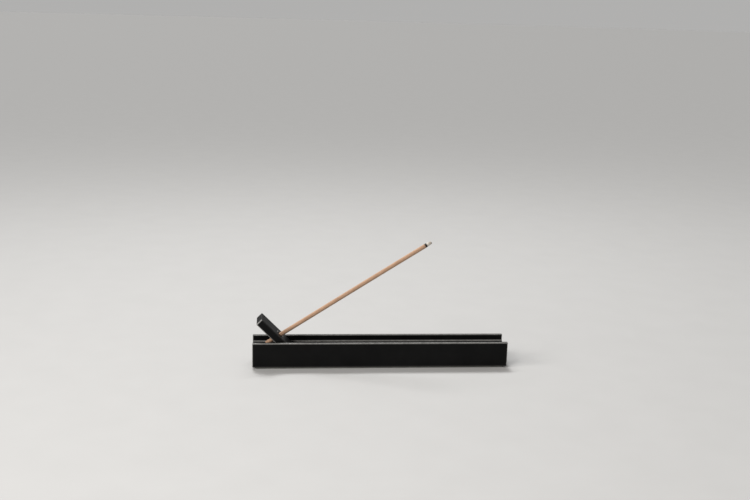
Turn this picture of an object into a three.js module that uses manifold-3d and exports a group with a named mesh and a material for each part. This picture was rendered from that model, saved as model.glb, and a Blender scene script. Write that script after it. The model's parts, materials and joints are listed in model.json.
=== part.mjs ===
// An incense burner: a long black bar with a shallow groove for the ash, a slab that leans up out
// of the groove and holds the stick, a thin pad under the bar, and a stick that has just been lit.
// Millimetres, +Z up. The origin is on the table under the middle of the bar, X runs along it.

import * as THREE from 'three';
import { mergeVertices } from 'three/addons/utils/BufferGeometryUtils.js';
import Module from 'manifold-3d';

const wasm = await Module();
wasm.setup();

// ---- Driving sizes ----

const barLength = 250;
const barWidth = 30;
const barHeight = 24.5; // without the pad under it
const barEdge = 1.2; // rounding of the long outer edges
const barEndEdge = 0.7; // rounding of the edges round both ends

const wall = 3.2; // each side of the groove
const grooveDepth = 6.7;
const grooveLip = 0.8; // rounding of the groove's upper edges
const grooveFoot = 1.2; // hollow rounding where the walls meet the groove floor

const padThickness = 1.2;
const padEndInset = 2.5;
const padSideInset = 1.0;
const padCorner = 1.5;

const plateLength = 50;
const plateThickness = 7.5;
const plateTilt = 45; // degrees from level
const plateFromEnd = 26.7; // left end of the bar to the slab's mid-plane, along the bar's top
const plateShowing = 28.8; // length of the slab above the bar's top, along its mid-plane
const plateCorner = 1.2; // rounding of the slab's four corners
const plateEdge = 0.8; // rounding of the slab's edges and of the hole's mouths

const holeAboveRim = 3.4; // bar's top to the hole's centre, along the slab's mid-plane

const stickDiameter = 4.2;
const stickLength = 182.4; // the part that has not burnt
const stickAngle = 32.7; // degrees from level
const stickEndEdge = 0.4;
const charLength = 1.2;
const ashLength = 4.7;
const ashDiameter = 3.6;
const ashTipDiameter = 2.6;
const ashStraight = 3.3; // length of the ash below its tapered tip

// ---- Clearances ----

const seatGap = 0.3; // between the bar and the pad that is stuck under it
const slotClearance = 0.3; // all round the slab in its slot
const slabToWall = 0.4; // each side of the slab, inside the groove
const stickClearance = 0.3; // stick to the hole's edges and to the groove floor
const burnGap = 0.3; // between the unburnt stick, the char and the ash

const arcSteps = 4;
const roundSteps = 24;
const holeSteps = 32;
const edgeSteps = 3;
const mergeDistance = 1e-4;

// ---- Sizes that follow from those ----

const tilt = THREE.MathUtils.degToRad(plateTilt);
const lean = THREE.MathUtils.degToRad(stickAngle);

const barFloorZ = padThickness + seatGap;
const rimZ = barFloorZ + barHeight;
const grooveZ = rimZ - grooveDepth;
const grooveWidth = barWidth - 2 * wall;

const plateWidth = grooveWidth - 2 * slabToWall;
const plateRimX = plateFromEnd - barLength / 2;
const plateHidden = plateLength - plateShowing;

// The hole is square to the slab and the stick droops in it, so the stick touches the hole's lower
// edge at the upper mouth and its upper edge at the lower mouth.
const droop = Math.PI / 2 - tilt - lean;
const holeDiameter = stickDiameter / Math.cos(droop)
  + plateThickness * Math.tan(Math.abs(droop))
  + 2 * stickClearance;
const holeX = plateRimX - holeAboveRim * Math.cos(tilt);
const holeZ = rimZ + holeAboveRim * Math.sin(tilt);

// The stick's axis goes through the hole's centre and down to the groove floor.
const stickFootZ = grooveZ + stickClearance + (stickDiameter / 2) * Math.cos(lean);
const stickFootX = holeX - (holeZ - stickFootZ) / Math.tan(lean);

// ---- Materials ----

function metalMaterial() {
  return new THREE.MeshStandardMaterial({ color: 0x151515, roughness: 0.5, metalness: 0.3 });
}

function feltMaterial() {
  return new THREE.MeshStandardMaterial({ color: 0x85857e, roughness: 0.95, metalness: 0 });
}

function incenseMaterial() {
  return new THREE.MeshStandardMaterial({ color: 0xb48c70, roughness: 0.9, metalness: 0 });
}

function charMaterial() {
  return new THREE.MeshStandardMaterial({ color: 0x241d19, roughness: 0.95, metalness: 0 });
}

function ashMaterial() {
  return new THREE.MeshStandardMaterial({ color: 0xc9c3b8, roughness: 1, metalness: 0 });
}

// ---- Shape helpers ----

// Points along an arc, in degrees, first and last included.
function arc(x, y, radius, from, to, steps = arcSteps) {
  const points = [];
  for (let i = 0; i <= steps; i += 1) {
    const angle = THREE.MathUtils.degToRad(from + (to - from) * (i / steps));
    points.push(new THREE.Vector2(x + radius * Math.cos(angle), y + radius * Math.sin(angle)));
  }
  return points;
}

function roundedRectangle(x0, y0, x1, y1, radius) {
  return new THREE.Shape([
    ...arc(x1 - radius, y0 + radius, radius, -90, 0),
    ...arc(x1 - radius, y1 - radius, radius, 0, 90),
    ...arc(x0 + radius, y1 - radius, radius, 90, 180),
    ...arc(x0 + radius, y0 + radius, radius, 180, 270),
  ]);
}

// Extrudes a shape along Z, with rounded edges at both ends, and centres it on Z.
function roundedExtrude(shape, length, edge) {
  const geometry = new THREE.ExtrudeGeometry(shape, {
    depth: length - 2 * edge,
    bevelEnabled: true,
    bevelThickness: edge,
    bevelSize: edge,
    bevelOffset: -edge,
    bevelSegments: edgeSteps,
  });
  geometry.translate(0, 0, edge - length / 2);
  return geometry;
}

function toSolid(geometry) {
  const bare = geometry.clone();
  bare.deleteAttribute('normal');
  bare.deleteAttribute('uv');
  const merged = mergeVertices(bare, mergeDistance);
  const vertProperties = new Float32Array(merged.attributes.position.array);
  const triVerts = new Uint32Array(merged.index.array);
  return new wasm.Manifold(new wasm.Mesh({ numProp: 3, vertProperties, triVerts }));
}

function toGeometry(solid) {
  const mesh = solid.getMesh();
  const geometry = new THREE.BufferGeometry();
  geometry.setAttribute('position', new THREE.BufferAttribute(new Float32Array(mesh.vertProperties), 3));
  geometry.setIndex(new THREE.BufferAttribute(new Uint32Array(mesh.triVerts), 1));
  geometry.computeVertexNormals();
  return geometry;
}

function namedMesh(name, geometry, material) {
  const mesh = new THREE.Mesh(geometry, material);
  mesh.name = name;
  return mesh;
}

// ---- Pieces ----

// The bar's section: a block with the groove cut down into it. Drawn with x across the bar.
function barSection() {
  const side = barWidth / 2 - barEdge;
  const top = barHeight - barEdge;
  const lip = grooveWidth / 2 + grooveLip;
  const lipTop = barHeight - grooveLip;
  const foot = grooveWidth / 2 - grooveFoot;
  const footTop = barHeight - grooveDepth + grooveFoot;
  return new THREE.Shape([
    ...arc(side, barEdge, barEdge, -90, 0),
    ...arc(side, top, barEdge, 0, 90),
    ...arc(lip, lipTop, grooveLip, 90, 180),
    ...arc(foot, footTop, grooveFoot, 0, -90),
    ...arc(-foot, footTop, grooveFoot, -90, -180),
    ...arc(-lip, lipTop, grooveLip, 0, 90),
    ...arc(-side, top, barEdge, 90, 180),
    ...arc(-side, barEdge, barEdge, 180, 270),
  ]);
}

// The space that the slab needs, from its lower end up past the top of the bar.
function slotCutter() {
  const thickness = plateThickness + 2 * slotClearance;
  const width = plateWidth + 2 * slotClearance;
  const length = plateHidden + slotClearance + plateShowing;
  const cutter = new THREE.BoxGeometry(length, width, thickness);
  cutter.translate(plateHidden + slotClearance - length / 2, 0, 0);
  cutter.rotateY(tilt);
  cutter.translate(plateRimX, 0, rimZ);
  return cutter;
}

function makeBar() {
  const block = roundedExtrude(barSection(), barLength, barEndEdge);
  block.rotateX(Math.PI / 2);
  block.rotateZ(Math.PI / 2);
  block.translate(0, 0, barFloorZ);
  const solid = toSolid(block).subtract(toSolid(slotCutter()));
  return namedMesh('base_bar', toGeometry(solid), metalMaterial());
}

function makePad() {
  const halfLength = barLength / 2 - padEndInset;
  const halfWidth = barWidth / 2 - padSideInset;
  const outline = roundedRectangle(-halfLength, -halfWidth, halfLength, halfWidth, padCorner);
  const geometry = new THREE.ExtrudeGeometry(outline, { depth: padThickness, bevelEnabled: false });
  return namedMesh('foot_pad', geometry, feltMaterial());
}

// The slab is drawn flat, with x running down it from the bar's top, and the hole square through it.
function makePlate() {
  const halfWidth = plateWidth / 2;
  const outline = roundedRectangle(-plateShowing, -halfWidth, plateHidden, halfWidth, plateCorner);
  const mouth = arc(-holeAboveRim, 0, holeDiameter / 2, 360, 0, holeSteps);
  mouth.pop(); // the last point is the first again
  outline.holes.push(new THREE.Path(mouth));
  const slab = roundedExtrude(outline, plateThickness, plateEdge);
  const plate = namedMesh('holder_plate', slab, metalMaterial());
  plate.rotation.y = tilt;
  plate.position.set(plateRimX, 0, rimZ);
  return plate;
}

// Turns a profile of [radius, height] points round the stick's axis, which is Z.
function turned(profile) {
  const points = profile.map(([radius, height]) => new THREE.Vector2(radius, height));
  const geometry = new THREE.LatheGeometry(points, roundSteps);
  geometry.rotateX(Math.PI / 2);
  return geometry;
}

function makeStick() {
  const radius = stickDiameter / 2;
  const geometry = turned([
    [0, 0],
    [radius - stickEndEdge, 0],
    [radius, stickEndEdge],
    [radius, stickLength],
    [0, stickLength],
  ]);
  return namedMesh('incense_stick', geometry, incenseMaterial());
}

function makeChar() {
  const geometry = turned([
    [0, 0],
    [stickDiameter / 2, 0],
    [ashDiameter / 2, charLength],
    [0, charLength],
  ]);
  const band = namedMesh('char_band', geometry, charMaterial());
  band.position.z = stickLength + burnGap;
  return band;
}

function makeAsh() {
  const geometry = turned([
    [0, 0],
    [ashDiameter / 2, 0],
    [ashDiameter / 2, ashStraight],
    [ashTipDiameter / 2, ashLength],
    [0, ashLength],
  ]);
  const ash = namedMesh('ash_tip', geometry, ashMaterial());
  ash.position.z = stickLength + burnGap + charLength + burnGap;
  return ash;
}

// ---- Assembly ----

const stick = new THREE.Group();
stick.rotation.y = Math.PI / 2 - lean;
stick.position.set(stickFootX, 0, stickFootZ);
stick.add(makeStick(), makeChar(), makeAsh());

const burner = new THREE.Group();
burner.add(makeBar(), makePad(), makePlate(), stick);

export default burner;
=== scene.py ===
import json
import math
import bpy
import numpy as np
from mathutils import Matrix, Vector


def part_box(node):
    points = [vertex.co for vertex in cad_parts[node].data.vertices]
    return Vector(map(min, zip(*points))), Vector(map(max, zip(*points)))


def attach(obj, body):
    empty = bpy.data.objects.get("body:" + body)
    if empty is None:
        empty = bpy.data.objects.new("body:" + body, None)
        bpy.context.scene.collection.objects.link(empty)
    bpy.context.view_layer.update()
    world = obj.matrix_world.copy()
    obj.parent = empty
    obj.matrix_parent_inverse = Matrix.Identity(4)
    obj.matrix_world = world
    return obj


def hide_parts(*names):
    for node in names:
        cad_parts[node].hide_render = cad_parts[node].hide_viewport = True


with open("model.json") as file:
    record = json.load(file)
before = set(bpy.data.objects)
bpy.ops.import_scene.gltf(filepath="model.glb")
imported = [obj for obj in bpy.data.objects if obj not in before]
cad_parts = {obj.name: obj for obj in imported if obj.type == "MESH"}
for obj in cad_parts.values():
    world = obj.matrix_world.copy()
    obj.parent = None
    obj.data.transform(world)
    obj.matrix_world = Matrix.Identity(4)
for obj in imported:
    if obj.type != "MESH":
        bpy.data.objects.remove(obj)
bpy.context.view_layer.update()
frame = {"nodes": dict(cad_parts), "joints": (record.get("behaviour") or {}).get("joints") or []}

mm = 0.001
arcSteps = 8
arcLead = 0.15 * mm  # how far the flats beside a rounded edge are held flat
mostInset = 0.98  # the share of a rounding's radius that an inset may use up

print("frame loaded:", ", ".join(sorted(frame["nodes"])))


# The unit vector that a sliding joint moves along.
def jointAxis(name):
    joint = next(j for j in frame["joints"] if j["name"] == name)
    axis = np.array(joint["axis"], float)
    return axis / np.linalg.norm(axis)


# The two corners of a CAD node's box, as arrays.
def nodeBox(name):
    low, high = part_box(name)
    return np.array(low), np.array(high)


# Points on a circular arc from one angle to another, in degrees: centre + radius * (cos, sin).
# One more point stands on the tangent a short way before it, and one a short way after it.
def arcPoints(centre, radius, start, stop):
    angles = np.radians(np.linspace(start, stop, arcSteps + 1))
    ring = np.stack([np.cos(angles), np.sin(angles)], axis=1)
    turn = math.copysign(1.0, stop - start)
    tangent = turn * np.stack([-ring[:, 1], ring[:, 0]], axis=1)
    points = np.array(centre) + radius * ring
    before = points[0] - arcLead * tangent[0]
    after = points[-1] + arcLead * tangent[-1]
    return np.vstack([before, points, after])


# How strongly the points of some arcs carry the painted highlight and wear: each arc's amount in
# its middle, fading at its ends as the square root of a sine.
def arcMask(amounts):
    fade = 0.15
    bell = np.zeros(arcSteps + 3)
    bell[1:-1] = np.sin(np.linspace(fade, math.pi - fade, arcSteps + 1)) ** 0.5
    return np.concatenate([amount * bell for amount in amounts])


# Smooth noise on a surface that closes round u: a sum of sine waves with whole numbers of turns in
# u and any frequency in v, which get lower as their frequency rises.
def waveNoise(u, v, seed, turns, speed, waves):
    rng = np.random.default_rng(seed)
    total = np.zeros(np.broadcast(u, v).shape)
    for _ in range(waves):
        m = int(rng.integers(0, turns + 1))
        n = rng.uniform(-speed, speed)
        height = 1 / (1 + 0.5 * math.hypot(m, n))
        total += height * np.sin(2 * np.pi * (m * u + n * v) + rng.uniform(0, 2 * np.pi))
    return total / np.abs(total).max()


# Thin cracks: 1 where the noise crosses zero, falling to 0 where it is as large as width.
def crackNoise(u, v, width, waves):
    return 1 - np.clip(np.abs(waveNoise(u, v, **waves)) / width, 0, 1)


# Six times the volume inside a closed mesh: the sum of the triple products of its triangles, each
# quad as two of them and each cap as a fan of them.
def signedVolume(points, quads, fans):
    total = 0.0
    for a, b, c in ((0, 1, 2), (0, 2, 3)):
        normals = np.cross(points[quads[:, b]], points[quads[:, c]])
        total += np.einsum("ij,ij->", points[quads[:, a]], normals)
    for fan in fans:
        first, rest = points[fan[0]], points[fan[1:]]
        total += np.sum(np.cross(rest[:-1], rest[1:]) @ first)
    return total


# Joins rings of points, all with the same count, into one closed skin. The last ring joins the
# first if loop is true, or else each end is closed by one flat polygon or by a fan to its middle.
# The amounts in edge, one a point, become the attribute that the materials read.
def ringSkin(name, rings, loop=False, domes=False, edge=None):
    ringCount, around = rings.shape[:2]
    points = rings.reshape(-1, 3)
    index = np.arange(ringCount * around).reshape(ringCount, around)
    nextRing = np.roll(index, -1, axis=0) if loop else index[1:]
    thisRing = index if loop else index[:-1]
    quads = np.stack(
        [thisRing, np.roll(thisRing, -1, axis=1), np.roll(nextRing, -1, axis=1), nextRing], axis=-1
    ).reshape(-1, 4)
    caps = []
    if domes:
        middles = np.stack([rings[0].mean(axis=0), rings[-1].mean(axis=0)])
        first = len(points)
        points = np.vstack([points, middles])
        for ring, middle, way in ((index[0], first, -1), (index[-1], first + 1, 1)):
            other = np.roll(ring, -1)
            pair = (ring, other) if way > 0 else (other, ring)
            tips = [middle] * around
            caps += [list(t) for t in zip(pair[0].tolist(), pair[1].tolist(), tips)]
    elif not loop:
        caps = [index[0][::-1].tolist(), index[-1].tolist()]
    if signedVolume(points, quads, [np.array(c) for c in caps]) < 0:
        quads = quads[:, ::-1]
        caps = [c[::-1] for c in caps]
    mesh = bpy.data.meshes.new(name)
    mesh.from_pydata(points.tolist(), [], quads.tolist() + caps)
    mesh.polygons.foreach_set("use_smooth", np.ones(len(mesh.polygons), bool))
    if edge is not None:
        wearAndHighlight = np.zeros(len(points))
        wearAndHighlight[:edge.size] = edge.ravel()
        mesh.attributes.new("edge", "FLOAT", "POINT").data.foreach_set("value", wearAndHighlight)
    mesh.update()
    piece = bpy.data.objects.new(name, mesh)
    bpy.context.scene.collection.objects.link(piece)
    return piece


# Puts a piece in the scene: its finish, the CAD body it moves with, and the CAD nodes it stands
# for, which it hides.
def settle(piece, body, nodes, finish):
    piece.data.materials.append(finish)
    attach(piece, body)
    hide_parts(*nodes)
    print("made", piece.name, len(piece.data.polygons), "faces")


# A shader socket that can stand in arithmetic: each operator adds its Math node.
class Wire:
    def __init__(self, finish, socket):
        self.finish = finish
        self.socket = socket

    def __add__(self, other):
        return self.finish.math("ADD", self, other)

    def __sub__(self, other):
        return self.finish.math("SUBTRACT", self, other)

    def __rsub__(self, other):
        return self.finish.math("SUBTRACT", other, self)

    def __mul__(self, other):
        return self.finish.math("MULTIPLY", self, other)

    def __pow__(self, other):
        return self.finish.math("POWER", self, other)

    __radd__ = __add__
    __rmul__ = __mul__


# A material being made. node() makes any node: its type, its settings, then its inputs.
class Finish:
    def __init__(self, name):
        self.material = bpy.data.materials.new(name)
        self.material.use_nodes = True
        self.tree = self.material.node_tree
        self.tree.nodes.clear()

    def node(self, kind, settings=None, inputs=None, output=0):
        made = self.tree.nodes.new(kind)
        for key, value in (settings or {}).items():
            setattr(made, key, value)
        for key, value in (inputs or {}).items():
            if isinstance(value, Wire):
                self.tree.links.new(value.socket, made.inputs[key])
            else:
                made.inputs[key].default_value = value
        return Wire(self, made.outputs[output]) if made.outputs else made

    def math(self, operation, *values):
        return self.node("ShaderNodeMath", {"operation": operation}, dict(enumerate(values)))

    # 0 below low, 1 above high, and a straight line between them.
    def clamp(self, value, low, high):
        inputs = {0: value, 1: low, 2: high, 3: 0.0, 4: 1.0}
        return self.node("ShaderNodeMapRange", None, inputs)

    # Object coordinates, turned about Y and stretched.
    def place(self, turn=0.0, stretch=(1.0, 1.0, 1.0)):
        spot = self.node("ShaderNodeTexCoord", output=3)
        inputs = {"Vector": spot, "Rotation": (0.0, turn, 0.0), "Scale": stretch}
        return self.node("ShaderNodeMapping", {"vector_type": "TEXTURE"}, inputs)

    def noise(self, spot, size, detail, rough=0.5):
        inputs = {"Vector": spot, "Scale": 1.0 / size, "Detail": detail, "Roughness": rough}
        return self.node("ShaderNodeTexNoise", {"normalize": True}, inputs)

    # The first colour where share is 0, the second where it is 1.
    def blend(self, share, first, second):
        inputs = {0: share, 6: first, 7: second}
        return self.node("ShaderNodeMix", {"data_type": "RGBA"}, inputs, output=2)

    def bump(self, height, depth, strength=1.0):
        inputs = {"Height": height, "Distance": depth, "Strength": strength}
        return self.node("ShaderNodeBump", None, inputs)

    def attribute(self, name):
        return self.node("ShaderNodeAttribute", {"attribute_name": name}, output=2)

    def done(self, inputs):
        surface = self.node("ShaderNodeBsdfPrincipled", None, inputs)
        self.node("ShaderNodeOutputMaterial", None, {"Surface": surface})
        return self.material


# An opaque colour from its three linear amounts.
def colour(red, green, blue):
    return (red, green, blue, 1.0)


cameraLook = {
    "spot": (-106.2 * mm, -975.4 * mm, 342.0 * mm),
    "yaw": 5.78,
    "pitch": 13.02,
    "roll": 1.58,
    "lens": 50.0,
    "sensor": 36.0,
}


# The camera looks along +Y, turned by yaw towards +X, then down by pitch and round by roll.
def makeCamera():
    yaw, pitch, roll = (math.radians(cameraLook[k]) for k in ("yaw", "pitch", "roll"))
    level = np.array([math.cos(yaw), -math.sin(yaw), 0.0])
    forward = np.array([
        math.sin(yaw) * math.cos(pitch),
        math.cos(yaw) * math.cos(pitch),
        -math.sin(pitch),
    ])
    upright = np.cross(level, forward)
    right = level * math.cos(roll) + upright * math.sin(roll)
    up = upright * math.cos(roll) - level * math.sin(roll)
    data = bpy.data.cameras.new("camera")
    data.lens = cameraLook["lens"]
    data.sensor_width = cameraLook["sensor"]
    data.clip_start = 0.01
    camera = bpy.data.objects.new("camera", data)
    turned = Matrix([list(row) for row in np.stack([right, up, -forward], axis=1)])
    camera.matrix_world = Matrix.Translation(cameraLook["spot"]) @ turned.to_4x4()
    bpy.context.scene.collection.objects.link(camera)
    bpy.context.scene.camera = camera


# Metres. A lamp with an angle, in degrees, is a sun, and one with a width and depth a rectangle.
lights = {
    "key": {
        "spot": (-0.75, -0.85, 0.95), "wide": 0.5, "deep": 0.5,
        "power": 10.0, "tint": (1.0, 0.97, 0.94),
    },
    "side": {
        "spot": (-1.25, -0.35, 0.55), "angle": 18.0,
        "power": 1.45, "tint": (1.0, 0.98, 0.95),
    },
    "strip": {
        "spot": (-0.12, 0.55, 1.00), "wide": 1.1, "deep": 0.07,
        "power": 5.0, "tint": (1.0, 1.0, 1.0),
    },
    "ceiling": {
        "spot": (-0.12, 0.55, 1.00), "angle": 16.0,
        "power": 1.6, "tint": (1.0, 1.0, 1.0),
    },
}


# A lamp for each entry, aimed at the middle of the bar. The suns light the whole floor evenly.
def makeLights():
    for name, light in lights.items():
        data = bpy.data.lights.new(name, "SUN" if "angle" in light else "AREA")
        if "angle" in light:
            data.angle = math.radians(light["angle"])
        else:
            data.shape = "RECTANGLE"
            data.size = light["wide"]
            data.size_y = light["deep"]
        data.energy = light["power"]
        data.color = light["tint"]
        lamp = bpy.data.objects.new(name, data)
        aim = (-Vector(light["spot"])).to_track_quat("-Z", "Y")
        lamp.matrix_world = Matrix.Translation(light["spot"]) @ aim.to_matrix().to_4x4()
        bpy.context.scene.collection.objects.link(lamp)


sky = {
    "tint": (0.81, 0.805, 0.795, 1.0),
    "lighting": 0.30,
    "seen": 0.54,
}


# The surroundings: a dim grey for the lighting, and a paler one, like the far floor, to look at.
def makeSky():
    world = bpy.data.worlds.new("studio")
    world.use_nodes = True
    tree = world.node_tree
    tree.nodes.clear()
    ray = tree.nodes.new("ShaderNodeLightPath")
    mixed = tree.nodes.new("ShaderNodeMixShader")
    tree.links.new(ray.outputs["Is Camera Ray"], mixed.inputs[0])
    for place, use in ((1, "lighting"), (2, "seen")):
        grey = tree.nodes.new("ShaderNodeBackground")
        grey.inputs["Color"].default_value = sky["tint"]
        grey.inputs["Strength"].default_value = sky[use]
        tree.links.new(grey.outputs[0], mixed.inputs[place])
    output = tree.nodes.new("ShaderNodeOutputWorld")
    tree.links.new(mixed.outputs[0], output.inputs["Surface"])
    bpy.context.scene.world = world


floorLook = {
    "radius": 30.0,
    "sides": 96,
    "below": 0.05 * mm,
    "dark": colour(0.46, 0.456, 0.448),
    "light": colour(0.49, 0.486, 0.478),
    "patch": 40 * mm,
    "roughness": 0.7,
}


# A large flat disc, just below the pad.
def makeFloor():
    look, sides = floorLook, floorLook["sides"]
    turn = np.linspace(0, 2 * np.pi, sides, endpoint=False)
    flat = look["radius"] * np.stack([np.cos(turn), np.sin(turn)])
    points = np.stack([flat[0], flat[1], np.full(sides, -look["below"])], axis=1)
    mesh = bpy.data.meshes.new("floor")
    mesh.from_pydata(points.tolist(), [], [list(range(sides))])
    floor = bpy.data.objects.new("floor", mesh)
    bpy.context.scene.collection.objects.link(floor)
    finish = Finish("paleFloor")
    grain = finish.noise(finish.place(), look["patch"], 4.0)
    shade = finish.blend(grain, look["dark"], look["light"])
    mesh.materials.append(finish.done({"Base Color": shade, "Roughness": look["roughness"]}))


makeCamera()
makeLights()
makeSky()
makeFloor()
bpy.context.scene.view_settings.view_transform = "Standard"
print("camera, lights and floor set")


# The black coated metal of the bar and the slab.
blackCoatLook = {
    "dark": colour(0.0035, 0.0035, 0.0036),
    "light": colour(0.0065, 0.0065, 0.0065),
    # The pale edge colour is a painted highlight, with some real wear.
    "wearAndHighlight": colour(0.22, 0.216, 0.207),
    "patch": 22 * mm,
    "grain": 0.35 * mm,
    "grainDepth": 0.010 * mm,
    "scuff": 3 * mm,
    "smear": 4 * mm,
    "smearStretch": 6.0,
    "roughness": 0.42,
    "edgeRoughness": 0.34,
    "patchRoughness": 0.12,
    "smearRoughness": 0.10,
    "specular": 0.08,
    "edgeCoat": 0.8,
    "coatRoughness": 0.35,
}


# Cloudy near-black paint with a fine grain. The attribute "edge", broken up by noise, makes rounded
# edges smoother and glossier, and paints them paler: a painted highlight, with some real wear.
def makeBlackCoat():
    look = blackCoatLook
    finish = Finish("blackCoat")
    spot = finish.place()
    patches = finish.noise(spot, look["patch"], 4.0, 0.6)
    grain = finish.noise(spot, look["grain"], 3.0, 0.6)
    smearSpot = finish.place(stretch=(look["smearStretch"], 1.0, 1.0))
    smear = finish.noise(smearSpot, look["smear"], 3.0, 0.55)
    scuff = finish.clamp(finish.noise(spot, look["scuff"], 4.0, 0.65), 0.25, 0.65)
    # The edge mask, broken up by noise: where the painted highlight, with some wear, goes on the
    # paint.
    rubAndHighlight = finish.attribute("edge") * (0.55 + scuff * 0.45)
    paint = finish.blend(finish.clamp(patches, 0.3, 0.7), look["dark"], look["light"])
    paint = finish.blend(rubAndHighlight, paint, look["wearAndHighlight"])
    rough = look["roughness"] + (patches - 0.5) * look["patchRoughness"]
    rough = rough + (smear - 0.5) * look["smearRoughness"]
    rough = rough - rubAndHighlight * (look["roughness"] - look["edgeRoughness"])
    return finish.done({
        "Base Color": paint,
        "Roughness": rough,
        "Normal": finish.bump(grain, look["grainDepth"], 0.6),
        "Specular IOR Level": look["specular"],
        "Coat Weight": rubAndHighlight * look["edgeCoat"],
        "Coat Roughness": look["coatRoughness"],
    })


blackCoat = makeBlackCoat()


barShape = {
    "edge": 1.2 * mm,
    "endEdge": 0.7 * mm,
    "endSteps": 6,
    "wall": 3.2 * mm,
    "grooveDepth": 6.7 * mm,
    "lip": 0.8 * mm,
    "foot": 1.2 * mm,
    "hold": 0.15 * mm,
    "flatRings": 40,
    "sharpAngle": 35.0,
    "rubbedAndHighlit": [0.15, 1.0, 1.0, 1.0],  # painted highlight, with some wear, on the lower and upper outer edge, the groove's lip and its foot
    # the painted highlight, with some wear, on the rounded ends
    "endRubbedAndHighlit": 0.8,
}


# The bar's outline across its length, moved inwards by inset: a block with a groove in its top.
# Convex corners lose the inset from their radius and hollow ones gain it.
def barOutline(width, low, high, inset):
    edge = barShape["edge"] - inset
    lip = barShape["lip"] - inset
    foot = barShape["foot"] + inset
    side = width / 2 - inset - edge
    inner = width / 2 - barShape["wall"] + inset
    bottom = low + inset + edge
    top = high - inset
    floor = top - barShape["grooveDepth"]
    right = np.vstack([
        arcPoints((side, bottom), edge, -90, 0),
        arcPoints((side, top - edge), edge, 0, 90),
        arcPoints((inner + lip, top - lip), lip, 90, 180),
        arcPoints((inner - foot, floor + foot), foot, 0, -90),
    ])
    left = right[::-1] * np.array([-1, 1])
    return np.vstack([right, left])


# The bar: its outline carried along X. Near each end it moves inwards by the end's radius times
# 1 - cos, while it steps along by the radius times 1 - sin, which rounds the end's edges.
def makeBar():
    low, high = nodeBox("base_bar")
    width = high[1] - low[1]
    radius, hold = barShape["endEdge"], barShape["hold"]
    swing = np.radians(np.linspace(90, 0, barShape["endSteps"] + 1))
    insets = np.concatenate([[radius + hold], radius * (1 - np.cos(swing)), [0.0]])
    steps = np.concatenate([[0.0], radius * (1 - np.sin(swing)), [radius + hold]])
    start, stop = low[0] + radius + hold, high[0] - radius - hold
    flats = np.linspace(start, stop, barShape["flatRings"] + 2)[1:-1]
    stations = np.concatenate([low[0] + steps, flats, (high[0] - steps)[::-1]])
    shrink = np.concatenate([insets, np.zeros(len(flats)), insets[::-1]])
    rings = []
    for x, inset in zip(stations, shrink):
        outline = barOutline(width, low[2], high[2], min(inset, barShape["lip"] * mostInset))
        rings.append(np.column_stack([np.full(len(outline), x), outline]))
    # The edge attribute paints highlights on the bar's rounded edges and ends, with some wear.
    rubbedAndHighlit = barShape["rubbedAndHighlit"]
    mask = arcMask(rubbedAndHighlit + rubbedAndHighlit[::-1])
    ends = (shrink > 0) & (shrink <= radius)
    wearAndHighlight = np.maximum(mask[None, :], ends[:, None] * barShape["endRubbedAndHighlit"])
    wearAndHighlight[[0, -1]] = 0  # the flat end faces
    return ringSkin("baseBar", np.stack(rings), edge=wearAndHighlight)


slabShape = {
    "length": 50 * mm,
    "thickness": 7.5 * mm,
    "corner": 1.2 * mm,
    "edge": 0.8 * mm,
    "holeFromTop": 25.4 * mm,
    "holeAcross": 6.5 * mm,
    "slotClearance": 0.3 * mm,
    "cornerSteps": 10,
    "sideSteps": 24,
    "rubbedAndHighlit": [0.12, 1.0, 0.5, 1.5],  # painted highlight, with some wear, on the upper and lower outer edge, the hole's lower and upper mouth
    "cornerRubbedAndHighlit": 1.3,
    "cornerKeepsOff": 0.3,  # the share of the edge's radius that the corners' painted highlight keeps off
}


# A rounded rectangle moved inwards by inset, with its points in the same order for any inset.
def slabOutline(length, width, inset):
    corner = slabShape["corner"] - inset
    x, y = length / 2 - inset - corner, width / 2 - inset - corner
    centres = ((x, y), (-x, y), (-x, -y), (x, -y))
    angles = np.radians(np.linspace(0, 90, slabShape["cornerSteps"] + 1))
    share = np.linspace(0, 1, slabShape["sideSteps"] + 1)[1:-1, None]
    points = []
    for turn, (cx, cy) in enumerate(centres):
        swing = angles + turn * np.pi / 2
        arc = np.stack([cx + corner * np.cos(swing), cy + corner * np.sin(swing)], axis=1)
        nextX, nextY = centres[(turn + 1) % 4]
        after = swing[-1]
        target = np.array([nextX + corner * math.cos(after), nextY + corner * math.sin(after)])
        points += [arc, arc[-1] * (1 - share) + target * share]
    return np.vstack(points)


# The frame of the slab: its middle, the way up along it, across it, and out of its upper face.
def slabFrame():
    low, high = nodeBox("holder_plate")
    along = jointAxis("plate_lift")
    across = np.array([0.0, 1.0, 0.0])
    out = np.cross(along, across)
    out = out * math.copysign(1.0, out[2])
    return (low + high) / 2, along, across, out, high[1] - low[1]


# How strongly the slab carries the painted highlight, with some wear: its edges as the arcs across
# them say, and the upright corners, as a sine round each, where the outer edge is not yet turning
# on to a face.
def slabRubAndHighlight(outer, around):
    half, edge = slabShape["thickness"] / 2, slabShape["edge"]
    # The edge attribute paints highlights on the slab's edges and corners, with some wear.
    wearAndHighlight = np.tile(arcMask(slabShape["rubbedAndHighlit"])[:, None], (1, around))
    turn = np.linspace(0, np.pi, slabShape["cornerSteps"] + 1)
    corner = np.tile(np.concatenate([np.sin(turn), np.zeros(slabShape["sideSteps"] - 1)]), 4)
    onSide = np.abs(outer[:, 1]) < half - slabShape["cornerKeepsOff"] * edge
    corners = slabShape["cornerRubbedAndHighlit"] * onSide[:, None] * corner
    wearAndHighlight[:len(outer)] = np.maximum(wearAndHighlight[:len(outer)], corners)
    return wearAndHighlight


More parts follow.
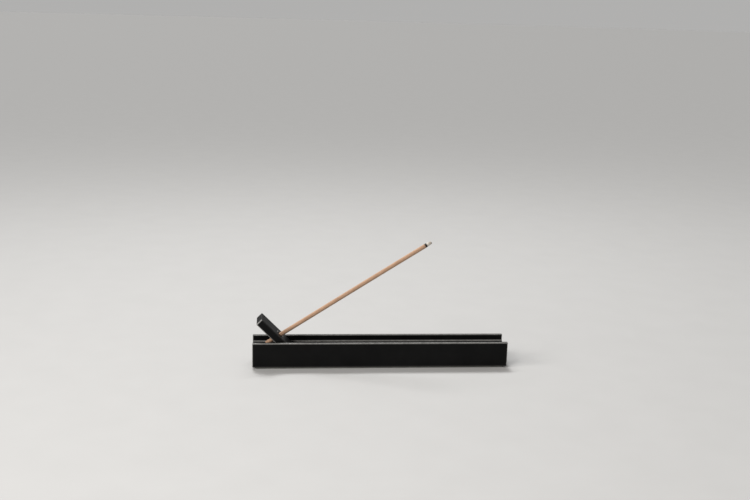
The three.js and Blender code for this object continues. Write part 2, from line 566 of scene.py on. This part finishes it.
# A closed ring-shaped grid: each ring goes round the hole, and from ring to ring the skin goes down
# the slab's outer edge, in over the lower face, up the hole's wall and out over the upper face.
def makeSlab():
    centre, along, across, out, width = slabFrame()
    length = slabShape["length"]
    half, edge = slabShape["thickness"] / 2, slabShape["edge"]
    holePlace = np.array([length / 2 - slabShape["holeFromTop"], 0.0])
    rim = slabOutline(length, width, 0.0) - holePlace
    angle = np.arctan2(rim[:, 1], rim[:, 0])
    circle = np.stack([np.cos(angle), np.sin(angle)], axis=1)
    outer = np.vstack([
        arcPoints((edge, half - edge), edge, 90, 180),
        arcPoints((edge, edge - half), edge, 180, 270),
    ])
    rings = []
    for inset, height in outer:
        flat = slabOutline(length, width, min(inset, slabShape["corner"] * mostInset))
        rings.append(np.column_stack([flat, np.full(len(flat), height)]))
    for grow, height in outer[::-1]:
        flat = holePlace + circle * (slabShape["holeAcross"] / 2 + grow)
        rings.append(np.column_stack([flat, np.full(len(flat), height)]))
    rings = np.stack(rings)
    points = centre + rings[..., 0:1] * along + rings[..., 1:2] * across + rings[..., 2:3] * out
    return ringSkin("holderSlab", points, loop=True, edge=slabRubAndHighlight(outer, rings.shape[1]))


# Cuts the slab's slanted slot into the bar: the slab's own box, with clearance, run on upwards.
def cutSlot(bar):
    centre, along, across, out, width = slabFrame()
    gap = slabShape["slotClearance"]
    reach = slabShape["length"] / 2
    wide = width / 2 + gap
    thick = slabShape["thickness"] / 2 + gap
    corners = np.array([[-wide, -thick], [wide, -thick], [wide, thick], [-wide, thick]])
    section = corners[:, 0:1] * across + corners[:, 1:2] * out
    ends = [centre + along * s + section for s in (-reach - gap, reach)]
    cutter = ringSkin("slotCutter", np.stack(ends))
    cut = bar.modifiers.new("slot", "BOOLEAN")
    cut.operation = "DIFFERENCE"
    cut.solver = "EXACT"
    cut.object = cutter
    bpy.context.view_layer.update()
    evaluated = bar.evaluated_get(bpy.context.evaluated_depsgraph_get())
    mesh = bpy.data.meshes.new_from_object(evaluated)
    bar.modifiers.clear()
    bar.data = mesh
    bpy.data.objects.remove(cutter)
    mesh.set_sharp_from_angle(angle=math.radians(barShape["sharpAngle"]))


bar = makeBar()
cutSlot(bar)
slab = makeSlab()
settle(bar, "base", ["base_bar"], blackCoat)
settle(slab, "plate", ["holder_plate"], blackCoat)


feltPad = {
    "corner": 1.5 * mm,
    "glue": 0.28 * mm,
    "soft": 0.35 * mm,
    "fuzz": 0.05 * mm,
    "spacing": 0.6 * mm,
    "unevenness": {"seed": 11, "turns": 420, "speed": 3.0, "waves": 160},
    "dark": colour(0.085, 0.086, 0.077),
    "light": colour(0.15, 0.151, 0.137),
    "fibre": 0.5 * mm,
    "fibreStretch": 4.0,
    "fibreDepth": 0.15 * mm,
    "mottle": 6 * mm,
    "roughness": 0.95,
    "specular": 0.2,
    "sheen": 0.3,
}


# A long rounded rectangle, its points evenly spaced, moved outwards by grow (one value a point).
def padOutline(halfX, halfY, grow):
    corner = feltPad["corner"]
    x, y = halfX - corner, halfY - corner
    lengths = [2 * x, math.pi / 2 * corner, 2 * y, math.pi / 2 * corner] * 2
    centres = ((x, -y), (x, y), (-x, y), (-x, -y))
    count = len(grow)
    walk = np.linspace(0, sum(lengths), count, endpoint=False)
    points, out = np.zeros((count, 2)), np.zeros((count, 2))
    start = 0.0
    for i, length in enumerate(lengths):
        here = (walk >= start) & (walk < start + length)
        share = (walk[here] - start) / length
        quarter = i // 2
        base = -np.pi / 2 + quarter * np.pi / 2
        cx, cy = centres[quarter]
        if i % 2 == 0:
            px, py = centres[quarter - 1]
            centre = np.stack([px + (cx - px) * share, py + (cy - py) * share], axis=1)
            swing = np.full(share.shape, base)
        else:
            centre = np.tile([cx, cy], (len(share), 1))
            swing = base + share * np.pi / 2
        ray = np.stack([np.cos(swing), np.sin(swing)], axis=1)
        points[here] = centre + corner * ray
        out[here] = ray
        start += length
    return points + out * grow[:, None]


# The pad: its outline carried up, drawn in at its top and bottom by the fourth power of the
# distance from mid-height, and made uneven by noise everywhere but at the very bottom.
def makePad():
    low, high = nodeBox("foot_pad")
    halfX, halfY = (high[0] - low[0]) / 2, (high[1] - low[1]) / 2
    count = int(4 * (halfX + halfY) / feltPad["spacing"])
    around = np.arange(count) / count
    top = high[2] + feltPad["glue"]
    levels = np.concatenate([[0, 0.02, 0.08], np.linspace(0.16, 0.84, 7), [0.92, 0.98, 1.0]])
    swell = -feltPad["soft"] * (np.abs(2 * levels - 1) ** 4)
    rings = []
    for level, grow in zip(levels, swell):
        uneven = waveNoise(around, np.full(count, level), **feltPad["unevenness"])
        uneven = feltPad["fuzz"] * uneven * (level > 0)
        flat = padOutline(halfX, halfY, grow + uneven - feltPad["fuzz"])
        height = low[2] + (top - low[2]) * level
        rings.append(np.column_stack([flat, np.full(count, height)]))
    return ringSkin("feltPad", np.stack(rings))


# Grey felt: short crossed fibres from stretched noise, with a coarser mottle below them.
def makeFelt():
    look, stretch = feltPad, feltPad["fibreStretch"]
    finish = Finish("felt")
    longSpot = finish.place(stretch=(stretch, 1.0, 1.0))
    crossSpot = finish.place(turn=1.1, stretch=(1.0, stretch, 2.0))
    longWay = finish.noise(longSpot, look["fibre"], 4.0, 0.7)
    crossWay = finish.noise(crossSpot, look["fibre"], 4.0, 0.7)
    mottle = finish.noise(finish.place(), look["mottle"], 3.0)
    fibres = (longWay + crossWay) * 0.5
    mixed = finish.clamp(fibres * 0.7 + mottle * 0.3, 0.35, 0.65)
    return finish.done({
        "Base Color": finish.blend(mixed, look["dark"], look["light"]),
        "Roughness": look["roughness"],
        "Normal": finish.bump(fibres, look["fibreDepth"]),
        "Specular IOR Level": look["specular"],
        "Sheen Weight": look["sheen"],
    })


settle(makePad(), "base", ["foot_pad"], makeFelt())


incenseStick = {
    "diameter": 4.2 * mm,
    "length": 182.4 * mm,
    "around": 64,
    "step": 0.35 * mm,
    "bow": 0.25 * mm,
    "footEdge": 0.45 * mm,
    "footSteps": 7,
    "slack": 0.02 * mm,
    "relief": 0.055 * mm,
    "lumps": {"seed": 3, "turns": 5, "speed": 60.0, "waves": 90},
    "drags": {"seed": 5, "turns": 26, "speed": 5.0, "waves": 60},
    "pits": {"seed": 7, "turns": 22, "speed": 260.0, "waves": 140},
    "dark": colour(0.15, 0.073, 0.039),
    "mid": colour(0.34, 0.19, 0.110),
    "pale": colour(0.49, 0.315, 0.205),
    "scorched": colour(0.03, 0.018, 0.012),
    "scorch": 1.5 * mm,
    "powder": 0.28 * mm,
    "streak": 0.7 * mm,
    "streakStretch": 9.0,
    "fleck": 0.55 * mm,
    "patch": 9 * mm,
    "depth": 0.05 * mm,
    "roughness": 0.80,
    "specular": 0.4,
    "sheen": 0.35,
    "sheenRoughness": 0.5,
}


# The stick's frame: the middle of its top end, the way up along it, and two ways across it.
def stickFrame():
    low, high = nodeBox("incense_stick")
    along = jointAxis("stick_draw")
    side = np.array([0.0, 1.0, 0.0])
    over = np.cross(side, along)
    over = over * math.copysign(1.0, over[2])
    radius = incenseStick["diameter"] / 2
    topX, topZ = high[0] - radius * abs(over[0]), high[2] - radius * over[2]
    return np.array([topX, (low[1] + high[1]) / 2, topZ]), along, side, over


# A round skin along the stick, one ring for each distance from the stick's top end. Its middle
# leaves the straight axis by drift, one value a ring, and radii has one value a point.
def roundSkin(name, along, radii, drift):
    top, way, side, over = stickFrame()
    turn = 2 * np.pi * np.arange(radii.shape[1]) / radii.shape[1]
    ring = np.cos(turn)[:, None] * side + np.sin(turn)[:, None] * over
    middle = top + along[:, None] * way + drift[:, None] * over
    points = middle[:, None, :] + radii[..., None] * ring[None]
    return ringSkin(name, points, domes=True)


# The turns round a piece as a row, and its share of the way along as a column, both 0 to 1.
def roundGrid(shape):
    around = np.arange(shape["around"])[None, :] / shape["around"]
    return around, np.linspace(0, 1, shape["rings"])[:, None]


# The unburnt stick: a cylinder with slight lumps, faint drag lines along it and small pits, a
# barely visible bow, which is a sine times the share of the way up, and a rounded lower end.
def makeStick():
    shape = incenseStick
    radius, length, foot = shape["diameter"] / 2, shape["length"], shape["footEdge"]
    swing = np.radians(np.linspace(90, 0, shape["footSteps"] + 1))
    footSteps = -length + foot * (1 - np.sin(swing))
    body = np.linspace(-length + foot, 0, int(length / shape["step"]))[1:]
    along = np.concatenate([footSteps, body])
    shrink = np.concatenate([foot * (1 - np.cos(swing)), np.zeros(len(body))])
    u = np.arange(shape["around"])[None, :] / shape["around"]
    v = (along / length)[:, None]
    lumps = waveNoise(u, v, **shape["lumps"])
    drags = waveNoise(u, v, **shape["drags"])
    pits = np.abs(waveNoise(u, v, **shape["pits"]))
    relief = shape["relief"] * (0.6 * lumps + 0.25 * drags - 0.35 * pits)
    radii = (radius - shrink)[:, None] + relief - shape["slack"]
    share = along / length + 1
    drift = shape["bow"] * np.sin(np.pi * share) * share
    return roundSkin("incenseStick", along, radii, drift)


# How far a point is above the stick's top end, in metres: its object coordinates less that end's,
# measured along the stick by a dot product.
def heightAlong(finish):
    top, way, _, _ = stickFrame()
    spot = finish.node("ShaderNodeTexCoord", output=3)
    inputs = {0: spot, 1: tuple(top)}
    moved = finish.node("ShaderNodeVectorMath", {"operation": "SUBTRACT"}, inputs)
    inputs = {0: moved, 1: tuple(way)}
    return finish.node("ShaderNodeVectorMath", {"operation": "DOT_PRODUCT"}, inputs, output=1)


# Dry incense paste: wood powder in three browns, streaks along the stick, and a scorched end.
def makeIncense():
    look = incenseStick
    finish = Finish("incense")
    _, way, _, _ = stickFrame()
    lean = -math.atan2(way[2], way[0])
    spot = finish.place()
    streakSpot = finish.place(turn=lean, stretch=(look["streakStretch"], 1.0, 1.0))
    powder = finish.noise(spot, look["powder"], 4.0, 0.75)
    streak = finish.noise(streakSpot, look["streak"], 3.0, 0.6)
    patch = finish.noise(spot, look["patch"], 3.0, 0.5)
    mixed = finish.clamp(powder * 0.6 + streak * 0.4, 0.36, 0.62)
    shade = finish.blend(mixed, look["mid"], look["pale"])
    flecks = finish.clamp(finish.noise(spot, look["fleck"], 3.0, 0.7), 0.60, 0.70)
    shade = finish.blend(flecks * 0.55, shade, look["dark"])
    shade = finish.blend(finish.clamp(patch, 0.45, 0.75) * 0.25, shade, look["dark"])
    ragged = heightAlong(finish) + (powder - 0.5) * 0.8 * mm
    scorch = finish.clamp(ragged, -look["scorch"], -0.2 * mm) ** 2.2
    shade = finish.blend(scorch, shade, look["scorched"])
    relief = powder * 0.7 + streak * 0.5 - flecks * 0.4
    return finish.done({
        "Base Color": shade,
        "Roughness": look["roughness"],
        "Normal": finish.bump(relief, look["depth"], 0.8),
        "Specular IOR Level": look["specular"],
        "Sheen Weight": look["sheen"],
        "Sheen Roughness": look["sheenRoughness"],
    })


charBand = {
    "from": -0.45 * mm,
    "to": 1.85 * mm,
    "endDiameter": 3.5 * mm,
    "slack": 0.03 * mm,
    "around": 96,
    "rings": 46,
    "relief": 0.12 * mm,
    "crackWidth": 0.12,
    "cracks": {"seed": 21, "turns": 9, "speed": 2.5, "waves": 70},
    "grit": {"seed": 22, "turns": 30, "speed": 9.0, "waves": 120},
    "dark": colour(0.010, 0.008, 0.007),
    "light": colour(0.045, 0.036, 0.030),
    "bloom": colour(0.34, 0.31, 0.28),
    "bloomFrom": 1.5 * mm,
    "bloomTo": 2.2 * mm,
    "flakeSize": 0.5 * mm,
    "gritSize": 0.16 * mm,
    "depth": 0.12 * mm,
    "roughness": 0.95,
    "specular": 0.2,
}


# The char: it narrows from the stick to the ash on an S-shaped curve, 3 v^2 - 2 v^3, with shallow
# cracks and grit that fade out at its ends.
def makeChar():
    shape = charBand
    u, v = roundGrid(shape)
    along = np.linspace(shape["from"], shape["to"], shape["rings"])
    fade = 3 * v ** 2 - 2 * v ** 3
    start = incenseStick["diameter"] / 2 - shape["slack"]
    radii = start + (shape["endDiameter"] / 2 - start) * fade
    cracks = crackNoise(u, v, shape["crackWidth"], shape["cracks"])
    grit = waveNoise(u, v, **shape["grit"])
    ends = np.sin(np.pi * np.clip(v, 0.02, 0.98)) ** 0.4
    radii = radii - ends * shape["relief"] * (0.7 * cracks + 0.35 * grit)
    return roundSkin("charBand", along, radii, np.zeros(len(along)))


# Char: flaky black, with a ragged grey bloom near the ash.
def makeCharCoat():
    look = charBand
    finish = Finish("char")
    spot = finish.place()
    flake = finish.noise(spot, look["flakeSize"], 4.0, 0.7)
    grit = finish.noise(spot, look["gritSize"], 3.0, 0.7)
    ragged = heightAlong(finish) + (flake - 0.5) * 1.2 * mm
    bloom = finish.clamp(ragged, look["bloomFrom"], look["bloomTo"])
    shade = finish.blend(finish.clamp(flake, 0.45, 0.65), look["dark"], look["light"])
    return finish.done({
        "Base Color": finish.blend(bloom, shade, look["bloom"]),
        "Roughness": look["roughness"],
        "Normal": finish.bump(flake + grit * 0.5, look["depth"]),
        "Specular IOR Level": look["specular"],
    })


ashTip = {
    "from": 1.45 * mm,
    "to": 6.5 * mm,
    "diameter": 3.65 * mm,
    "tipDiameter": 2.5 * mm,
    "crownFrom": 0.86,
    "sag": 0.35 * mm,
    "around": 160,
    "rings": 190,
    "relief": 0.22 * mm,
    "crackWidth": 0.07,
    "layers": {"seed": 31, "turns": 4, "speed": 7.0, "waves": 50},
    "flakes": {"seed": 33, "turns": 16, "speed": 24.0, "waves": 160},
    "cracks": {"seed": 35, "turns": 7, "speed": 8.0, "waves": 80},
    "nearChar": [colour(0.58, 0.545, 0.49), colour(0.80, 0.765, 0.70)],
    "nearTip": [colour(0.33, 0.28, 0.225), colour(0.52, 0.455, 0.38)],
    "nearCharTo": 2.4 * mm,
    "nearTipFrom": 6.4 * mm,
    "cracked": colour(0.20, 0.175, 0.15),
    "burnt": colour(0.10, 0.09, 0.08),
    "burntTo": 1.2 * mm,
    "cleanFrom": 1.8 * mm,
    "flakeSize": 0.9 * mm,
    "crackSize": 0.8 * mm,
    "powderSize": 0.18 * mm,
    "depth": 0.15 * mm,
    "roughness": 1.0,
    "specular": 0.1,
}


# The ash: a brittle column that keeps the stick's form, narrower towards a broken, rounded tip,
# whose crown is a quarter ellipse. Its skin steps in and out in layers, split by fine cracks, and
# it sags by the square of the way along.
def makeAsh():
    shape = ashTip
    u, v = roundGrid(shape)
    share = v[:, 0]
    along = shape["from"] + (shape["to"] - shape["from"]) * share
    start, stop = shape["diameter"] / 2, shape["tipDiameter"] / 2
    taper = start + (stop - start) * v ** 1.6
    past = np.clip((v - shape["crownFrom"]) / (1 - shape["crownFrom"]), 0, 1)
    crown = np.sqrt(np.clip(1 - past ** 2, 0.0, 1))
    layers = waveNoise(u, v, **shape["layers"])
    layers = np.round(layers * 3) / 3 * 0.6 + layers * 0.4
    flakes = waveNoise(u, v, **shape["flakes"])
    cracks = crackNoise(u, v, shape["crackWidth"], shape["cracks"])
    relief = shape["relief"] * (0.55 * layers + 0.45 * flakes - 0.6 * cracks)
    radii = np.clip((taper + relief) * (0.12 + 0.88 * crown), 0.05 * mm, 2.0 * mm)
    return roundSkin("ashTip", along, radii, -shape["sag"] * share ** 2)


# Ash: warm grey powder, paler on its raised flakes and near the char, darker and tan towards its
# tip, darker in its cracks and where it meets the char.
def makeAshCoat():
    look = ashTip
    finish = Finish("ash")
    spot = finish.place()
    flake = finish.noise(spot, look["flakeSize"], 5.0, 0.7)
    powder = finish.noise(spot, look["powderSize"], 3.0, 0.7)
    crossing = finish.noise(spot, look["crackSize"], 3.0, 0.6) - 0.5
    whole = finish.clamp(finish.math("ABSOLUTE", crossing), 0.0, 0.05)
    height = heightAlong(finish)
    nearChar = finish.blend(finish.clamp(flake, 0.35, 0.65), *look["nearChar"])
    nearTip = finish.blend(finish.clamp(flake, 0.35, 0.65), *look["nearTip"])
    shade = finish.blend(finish.clamp(height, look["nearCharTo"], look["nearTipFrom"]), nearChar, nearTip)
    shade = finish.blend((1 - whole) * 0.3, shade, look["cracked"])
    ragged = height + (flake - 0.5) * 1.6 * mm
    burnt = 1 - finish.clamp(ragged, look["burntTo"], look["cleanFrom"])
    shade = finish.blend(burnt * 0.8, shade, look["burnt"])
    return finish.done({
        "Base Color": shade,
        "Roughness": look["roughness"],
        "Normal": finish.bump(flake * 0.8 + powder * 0.5 + whole * 0.5, look["depth"]),
        "Specular IOR Level": look["specular"],
    })


settle(makeStick(), "stick", ["incense_stick"], makeIncense())
settle(makeChar(), "stick", ["char_band"], makeCharCoat())
settle(makeAsh(), "stick", ["ash_tip"], makeAshCoat())
